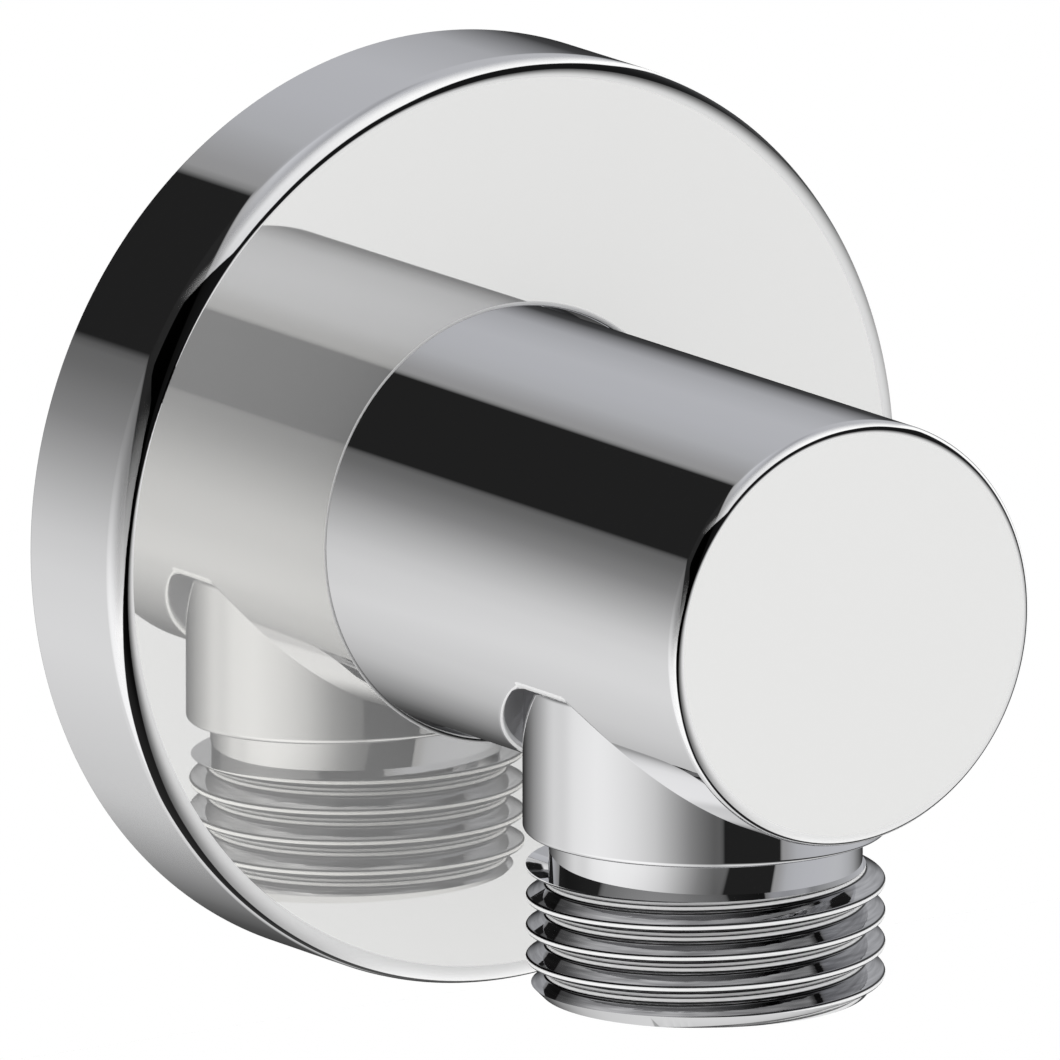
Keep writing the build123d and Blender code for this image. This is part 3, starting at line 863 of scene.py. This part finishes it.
def threadSide(thread, crestAt, place):
    # the thread's own normal at a place on its surface, or None off it
    away = math.hypot(place.x, place.y)
    turn, r, pitch = math.radians(90 - thread["flank"]), thread["round"], thread["pitch"]
    height = (place.z - crestAt - pitch * math.atan2(place.y, place.x) / math.tau + pitch / 2) % pitch - pitch / 2
    up = abs(height)
    if up < r * math.sin(turn):
        tilt = math.asin(up / r)
        radius = thread["crest"] - r * (1 - math.cos(tilt))
    elif pitch / 2 - up < r * math.sin(turn):
        tilt = math.asin((pitch / 2 - up) / r)
        radius = thread["crest"] - thread["depth"] + r * (1 - math.cos(tilt))
    else:
        tilt = turn
        radius = thread["crest"] - r * (1 - math.cos(turn)) - (up - r * math.sin(turn)) * math.tan(turn)
    if abs(away - radius) > 0.008:
        return None
    rise = math.copysign(math.tan(tilt), height)
    outward = Vector((place.x, place.y, 0)) / away
    along = Vector((-outward.y, outward.x, 0))
    return (outward - along * rise * pitch / (math.tau * away) + Vector((0, 0, rise))).normalized()


def windNormals(piece, thread, crestAt, axis, slot=0):
    # every corner on the thread takes the helix's own normal, so its mirror runs without ripples
    back, turned = axis.inverted(), axis.to_3x3()
    normals = [corner.vector.copy() for corner in piece.data.corner_normals]
    for face in piece.data.polygons:
        middle = threadSide(thread, crestAt, back @ face.center / mm)
        if middle is None or (turned @ middle).dot(face.normal) < 0.9:
            continue
        face.material_index = slot
        for corner in face.loop_indices:
            point = piece.data.vertices[piece.data.loops[corner].vertex_index].co
            normal = threadSide(thread, crestAt, back @ point / mm)
            if normal is not None:
                normals[corner] = turned @ normal
    piece.data.normals_split_custom_set(normals)


# Outlet connector

outlet = {"spigot": 7.95, "spigotTop": 1.0, "spigotRound": 0.4, "ceiling": 5.1, "collar": 10.6,
          "collarBottom": 14.3, "collarRound": 0.3, "collarTopRound": 0.45, "relief": 9.1, "reliefRound": 0.15,
          "shoulder": 16.4, "end": 24.0, "crestAt": 17.23, "ringIn": 8.35, "ringOut": 9.95, "ringDepth": 1.26,
          "bore": 4.75, "hex": 10.0, "hexTop": 5.0, "cartridge": 6.9, "cartridgeTop": 10.0, "mouth": 0.4,
          "intoThread": 0.6, "hexInto": 0.2}


def buildOutlet():
    o = SimpleNamespace(**outlet)
    ringTop, rodTop = o.ceiling + o.ringDepth, o.shoulder + o.intoThread
    piece = turnedPiece("outletConnector", [
        (0, o.spigotTop), (o.spigot, o.spigotTop, o.spigotRound), (o.spigot, o.ceiling),
        (o.ringIn, o.ceiling), (o.ringIn, ringTop), (o.ringOut, ringTop), (o.ringOut, o.ceiling),
        (o.collar, o.ceiling, o.collarTopRound), (o.collar, o.collarBottom, o.collarRound),
        (o.relief, o.collarBottom, o.reliefRound), (o.relief, rodTop), (0, rodTop)], steps=256)
    combine(piece, threadRod("outletThread", pipeThread, o.shoulder, o.end, o.crestAt), "UNION")
    over = 0.5
    cutter = turnedPiece("boreCutter", [
        (0, o.spigotTop - cutOver), (o.bore, o.spigotTop - cutOver), (o.bore, o.cartridgeTop),
        (o.cartridge, o.cartridgeTop), (o.cartridge, o.end - o.mouth),
        (o.cartridge + o.mouth + over, o.end + over), (0, o.end + over)], steps=144)
    combine(piece, cutter)
    combine(piece, hexPiece("hexCutter", o.hex, o.hexTop, o.cartridgeTop + o.hexInto))
    finished(piece, downOutlet, "outlet_nipple", "chrome", chrome)
    piece.data.materials.append(threadChromeWithPaintedLines)
    windNormals(piece, pipeThread, o.crestAt, downOutlet, slot=1)


buildOutlet()
print("outlet connector made")


# Wall connector

wallSide = {"flange": 12.0, "flangeThick": 2.3, "flangeRound": 0.2, "sleeve": 9.3, "sleeveEnd": 16.7,
            "sleeveChamfer": 0.4, "rings": (5.2, 14.95), "groove": 7.74, "grooveHalf": 1.05, "soft": 0.15,
            "screwGroove": 1.2, "relief": 9.1, "shoulder": 2.2, "crestAt": 3.1, "end": 13.5,
            "bore": 4.75, "hex": 10.0, "hexDepth": 10.5, "intoThread": 0.6}


def buildWallConnector():
    w = SimpleNamespace(**wallSide)
    rodEnd, sleeve, groove, tip = -w.shoulder - w.intoThread, w.sleeve, w.groove, w.sleeveChamfer
    corners = [(0, rodEnd), (w.relief, rodEnd), (w.relief, 0, w.flangeRound),
            (w.flange, 0, w.flangeRound), (w.flange, w.flangeThick, w.flangeRound), (sleeve, w.flangeThick, w.soft)]
    for k, height in enumerate(w.rings):
        low, high = height - w.grooveHalf, height + w.grooveHalf
        corners += [(sleeve, low), (groove, low, w.soft), (groove, high, w.soft), (sleeve, high)]
        if k == 0:
            corners += [(sleeve, screwAxis - w.screwGroove), (sleeve - w.screwGroove, screwAxis),
                    (sleeve, screwAxis + w.screwGroove)]
    corners += [(sleeve, w.sleeveEnd - tip), (sleeve - tip, w.sleeveEnd), (0, w.sleeveEnd)]
    piece = turnedPiece("wallConnector", corners)
    thread = threadRod("wallThread", pipeThread, w.shoulder, w.end, w.crestAt)
    combine(piece, layOn(thread, turnedOver), "UNION")
    hexTop = w.sleeveEnd - w.hexDepth
    combine(piece, rodPiece("wallBore", w.bore, -w.end - cutOver, hexTop + cutOver))
    combine(piece, hexPiece("wallHex", w.hex, hexTop, w.sleeveEnd + cutOver))
    finished(piece, outOfWall, "wall_nipple", "brass", brass)
    piece.visible_glossy = False  # it lies behind the plate, whose own mirror image is left out as well
    windNormals(piece, pipeThread, w.crestAt, outOfWall @ turnedOver)


buildWallConnector()
print("wall connector made")


# Rubber rings and gasket

ringFlash = 0.9985  # the split line inside, as a share of its own radius
# name: node, middle of the section, its thickness, place on the axis, axis
rings = {
    "frontSleeveRing": ("sleeve_oring_front", 8.62, 1.7, 14.95, outOfWall),
    "rearSleeveRing": ("sleeve_oring_rear", 8.62, 1.7, 5.2, outOfWall),
    "hubRing": ("escutcheon_oring", 13.23, 1.4, 5.1, outOfWall),
    "collarRing": ("nipple_oring", 9.15, 1.2, 5.73, downOutlet),
    "cartridgeRing": ("cartridge_oring", 6.42, 0.9, 11.6, downOutlet),
}
gasket = {"inner": 21.6, "outer": 25.6, "thick": 2.4, "edge": 0.25}


def buildRing(name):
    node, middle, thick, height, axis = rings[name]
    nothingSelected()
    bpy.ops.mesh.primitive_torus_add(major_segments=128, minor_segments=24, major_radius=middle * mm,
            minor_radius=thick / 2 * mm, location=(0, 0, height * mm))
    piece = bpy.context.object
    piece.name = name
    applyPlace()
    # the mould's split line stands as a hair of flash round the ring
    editMesh("DESELECT")
    leaveMesh()
    for point in piece.data.vertices:
        level = abs(point.co.z - height * mm) < 0.001 * mm
        point.select = level and math.hypot(point.co.x, point.co.y) < middle * mm
    bpy.ops.object.mode_set(mode="EDIT")
    bpy.ops.transform.resize(value=(ringFlash, ringFlash, 1))
    leaveMesh()
    finished(piece, axis, node, "black_rubber", rubber, angle=60, weighted=False)
    piece.visible_glossy = name != "hubRing"


def buildGasket():
    inner, outer, thick, edge = gasket.values()
    piece = turnedPiece("foamGasket", [(inner, 0, edge), (outer, 0, edge), (outer, thick, edge),
            (inner, thick, edge)], steps=160)
    finished(piece, outOfWall, "wall_gasket", "foam_rubber", foam)
    piece.visible_glossy = False


for name in rings:
    buildRing(name)
buildGasket()
print("rings and gasket made")


# Locking screw

lockScrew = {"tip": 8.15, "head": 12.2, "radius": 1.95, "core": 1.5, "hex": 2.0, "hexDepth": 1.6, "crestUnder": 0.4,
             "intoCone": 0.5}


def buildLockScrew():
    s = SimpleNamespace(**lockScrew)
    under = s.head - s.crestUnder
    piece = threadRod("lockScrew", screwThread, s.tip + s.radius - s.intoCone, s.head, under)
    cone = turnedPiece("screwCone", [(0, s.tip), (s.core, s.tip + s.core), (s.core, under), (0, under)], steps=48)
    combine(piece, cone, "UNION")
    combine(piece, hexPiece("screwHex", s.hex, s.head - s.hexDepth, s.head + cutOver))
    finished(piece, atScrew, "grub_screw", "steel", steel, weighted=False)


buildLockScrew()
print("locking screw made")


# Non-return cartridge

cartridge = {"outer": 6.75, "top": 10.0, "end": 21.6, "opening": 3.6, "bore": 5.5, "seatFrom": 12.0,
             "seatTo": 13.9, "seatGap": 0.12, "groove": 5.94, "grooveFrom": 10.95, "grooveTo": 12.25,
             "guideOuter": 5.45, "guideTop": 19.6, "guideRim": 0.9, "guideHub": 1.9, "guideHubTop": 17.0,
             "spokes": 3, "spokeFrom": 1.5, "spokeWide": 1.0, "spokeThick": 1.2, "stemHole": 1.25,
             "spokeRound": 0.12, "spokeInto": 0.3, "hubCore": 0.85, "soft": 0.15}
poppet = {"sealTop": 12.25, "sealBottom": 13.0, "headBottom": 13.8, "bossBottom": 14.5, "stemEnd": 21.2,
          "stem": 1.1, "boss": 1.9, "cap": 3.3, "capHeight": 0.6, "sealInner": 2.8}


def seatRadius(height):
    c = SimpleNamespace(**cartridge)
    return c.opening + height - c.seatFrom - c.seatGap * math.sqrt(2)


def buildHousing():
    c = SimpleNamespace(**cartridge)
    piece = turnedPiece("cartridgeHousing", [
        (c.opening, c.top, 0.1), (c.outer, c.top, 0.15), (c.outer, c.grooveFrom),
        (c.groove, c.grooveFrom), (c.groove, c.grooveTo), (c.outer, c.grooveTo),
        (c.outer, c.end, 0.2), (c.bore, c.end, 0.2), (c.bore, c.seatTo), (c.opening, c.seatFrom, 0.1)], steps=128)
    finished(piece, downOutlet, "valve_housing", "white_plastic", whiteAcetal)


def buildGuide():
    c = SimpleNamespace(**cartridge)
    inner, core, soft = c.guideOuter - c.guideRim, c.hubCore, c.soft
    piece = turnedPiece("valveGuide", [(inner, c.guideTop, soft), (c.guideOuter, c.guideTop, soft),
            (c.guideOuter, c.end, 0.1), (inner, c.end, soft)], steps=96)
    hub = turnedPiece("guideHub", [(core, c.guideHubTop), (c.guideHub, c.guideHubTop, soft),
            (c.guideHub, c.end, soft), (core, c.end)], steps=64)
    combine(piece, hub, "UNION")
    for k in range(c.spokes):
        spoke = barPiece(c.spokeFrom, inner + c.spokeInto - c.spokeFrom, c.guideTop + hair, c.spokeWide,
                c.spokeThick, c.spokeRound)
        combine(piece, layOn(spoke, Matrix.Rotation(math.tau / c.spokes * k, 4, "Z")), "UNION")
    combine(piece, rodPiece("stemCutter", c.stemHole, c.guideHubTop - cutOver, c.end + cutOver, sides=48))
    finished(piece, downOutlet, "valve_guide", "white_plastic", whiteAcetal)


def buildPoppet():
    p = SimpleNamespace(**poppet)
    head, capTop = seatRadius(p.sealBottom), p.sealTop - p.capHeight
    piece = turnedPiece("valvePoppet", [
        (0, capTop), (p.cap - p.capHeight, capTop, 0.3), (p.cap, p.sealTop, 0.05),
        (p.sealInner, p.sealTop), (p.sealInner, p.sealBottom), (head, p.sealBottom, 0.1),
        (head, p.headBottom, 0.2), (p.boss, p.headBottom, 0.1), (p.boss, p.bossBottom, 0.15),
        (p.stem, p.bossBottom, 0.2), (p.stem, p.stemEnd, 0.3), (0, p.stemEnd)], steps=96)
    finished(piece, downOutlet, "valve_poppet", "poppet_plastic", blueAcetal, body="poppet")


def buildSeal():
    p = SimpleNamespace(**poppet)
    piece = turnedPiece("poppetSeal", [
        (p.sealInner, p.sealTop), (seatRadius(p.sealTop), p.sealTop, 0.05),
        (seatRadius(p.sealBottom), p.sealBottom, 0.08), (p.sealInner, p.sealBottom)], steps=96)
    finished(piece, downOutlet, "poppet_seal", "black_rubber", rubber, body="poppet")


spring = {"wire": 0.5, "middle": 2.45, "top": 13.83, "bottom": 19.57, "turns": 5.5, "endTurns": 0.9,
          "endPitch": 1.02, "steps": 48, "sides": 12}


def buildSpring():
    # wound at 1 mm a turn by the screw modifier, then its two end turns are closed up
    s = SimpleNamespace(**spring)
    nothingSelected()
    bpy.ops.mesh.primitive_circle_add(vertices=s.sides, radius=s.wire / 2 * mm,
            location=(s.middle * mm, 0, 0), rotation=(math.pi / 2, 0, 0))
    piece = bpy.context.object
    piece.name = "valveSpring"
    applyPlace()
    windUp(piece, math.tau * s.turns, s.turns, round(s.steps * s.turns))
    span = s.bottom - s.top - s.wire
    closed = s.wire * s.endPitch
    openPitch = (span - 2 * closed * s.endTurns) / (s.turns - 2 * s.endTurns)
    wireRings = len(piece.data.vertices) // s.sides
    for k in range(wireRings):
        turned = k / (wireRings - 1) * s.turns
        low = min(turned, s.endTurns)
        high = max(turned - s.turns + s.endTurns, 0)
        rise = low * closed + (turned - low - high) * openPitch + high * closed
        for n in range(s.sides):
            point = piece.data.vertices[k * s.sides + n]
            point.co.z += (rise - turned + s.top + s.wire / 2) * mm
    makeActive(piece)
    selectOpenEdges()
    bpy.ops.mesh.edge_face_add()
    closeSeams()
    finished(piece, downOutlet, "valve_spring", "steel", steel, angle=50, weighted=False)
    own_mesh(piece)


buildHousing()
buildGuide()
buildPoppet()
buildSeal()
buildSpring()
print("non-return cartridge made")


# Soft box for the flats

softBox = {"power": 0.019, "distance": 1.2, "across": 0.16, "aim": (0, -15.0, -2.0)}


def buildSoftBox():
    # a small soft box that only the plate and the body see, in the way their flats mirror the viewer
    light = bpy.data.lights.new("faceSoftBox", "AREA")
    light.shape, light.size, light.energy = "SQUARE", softBox["across"], softBox["power"]
    lamp = bpy.data.objects.new("faceSoftBox", light)
    bpy.context.scene.collection.objects.link(lamp)
    way = 2 * towardsViewer.dot(faceMirror) * faceMirror - towardsViewer
    lamp.location = Vector(softBox["aim"]) * mm + way * softBox["distance"]
    lamp.rotation_euler = (-way).to_track_quat("-Z", "Y").to_euler()
    seen = bpy.data.collections.new("seesSoftBox")
    for name in ("wallPlate", "outletBody"):
        seen.objects.link(bpy.data.objects[name])
    lamp.light_linking.receiver_collection = seen


buildSoftBox()
print("soft box set")
